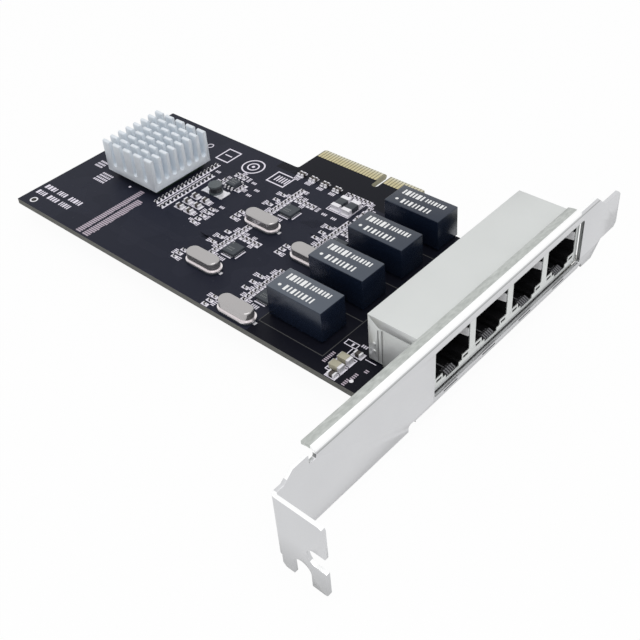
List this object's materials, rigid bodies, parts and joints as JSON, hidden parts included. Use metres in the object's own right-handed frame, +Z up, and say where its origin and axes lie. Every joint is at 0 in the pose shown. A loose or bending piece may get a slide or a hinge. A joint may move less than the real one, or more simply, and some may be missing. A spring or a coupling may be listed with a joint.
{
  "type": "network interface card",
  "caption": "Network interface card with a row of shielded jack ports, transformer blocks, a finned heatsink, an edge connector and a full-height mounting bracket.",
  "frame": {"origin": "bottom centre of the whole card as it lies component side up", "axes": "+X out of the ports, +Y along the bracket from its screw tab to its tail, +Z up from the component side"},
  "size_m": [0.1454, 0.12, 0.0216],
  "materials": {
    "board": "near-black solder mask with a violet tint over glass fibre, semi-gloss",
    "gold": "hard gold plating, bright",
    "bracket_steel": "zinc-plated sheet, satin",
    "screw_steel": "zinc-plated, satin",
    "jack_plastic": "black glass-filled plastic, matte",
    "shield_metal": "nickel-plated sheet, smooth satin",
    "tin": "tin plating and solder, satin",
    "chip_substrate": "green chip substrate, matte",
    "chip_black": "moulded chip package, fine matte",
    "pad_grey": "soft grey thermal pad",
    "heatsink_metal": "bare aluminium, satin",
    "ferrite": "dark grey ferrite, matte",
    "copper": "dark enamelled copper wire",
    "ceramic_brown": "brown-grey ceramic, matte",
    "ceramic_cream": "cream-olive ceramic, matte",
    "transformer_black": "black moulded block, satin",
    "crystal_nickel": "drawn nickel-plated can, satin"
  },
  "bodies": {
    "root": {"bracket": "bracket_steel", "bracket_screw_1": "screw_steel", "bracket_screw_2": "screw_steel", "bulk_capacitor_ends": "tin", "bulk_capacitors": "ceramic_cream", "chip_solder_balls": "tin", "choke_core": "ferrite", "choke_terminals": "tin", "choke_winding": "copper", "circuit_board": "board", "contact_wires": "gold", "coupling_capacitor_ends": "tin", "coupling_capacitors": "ceramic_brown", "crystal_bases": "chip_black", "crystal_can_1": "crystal_nickel", "crystal_can_2": "crystal_nickel", "crystal_can_3": "crystal_nickel", "crystal_can_4": "crystal_nickel", "crystal_terminals": "tin", "edge_contacts_bottom": "gold", "edge_contacts_top": "gold", "filter_capacitor_ends": "tin", "filter_capacitors": "ceramic_cream", "heatsink": "heatsink_metal", "interface_chip_1": "chip_black", "interface_chip_2": "chip_black", "interface_chip_3": "chip_black", "interface_chip_4": "chip_black", "interface_chip_terminals": "tin", "jack_earth_springs": "shield_metal", "jack_housing": "jack_plastic", "jack_shield": "shield_metal", "main_chip_cover": "chip_black", "main_chip_substrate": "chip_substrate", "memory_chip": "chip_black", "memory_chip_leads": "tin", "small_part_bodies": "ceramic_brown", "small_part_ends": "tin", "supply_part_ends": "tin", "supply_parts": "chip_black", "thermal_pad": "pad_grey", "transformer_1": "transformer_black", "transformer_2": "transformer_black", "transformer_3": "transformer_black", "transformer_4": "transformer_black", "transformer_pins_1": "tin", "transformer_pins_2": "tin", "transformer_pins_3": "tin", "transformer_pins_4": "tin"}
  },
  "joints": []
}
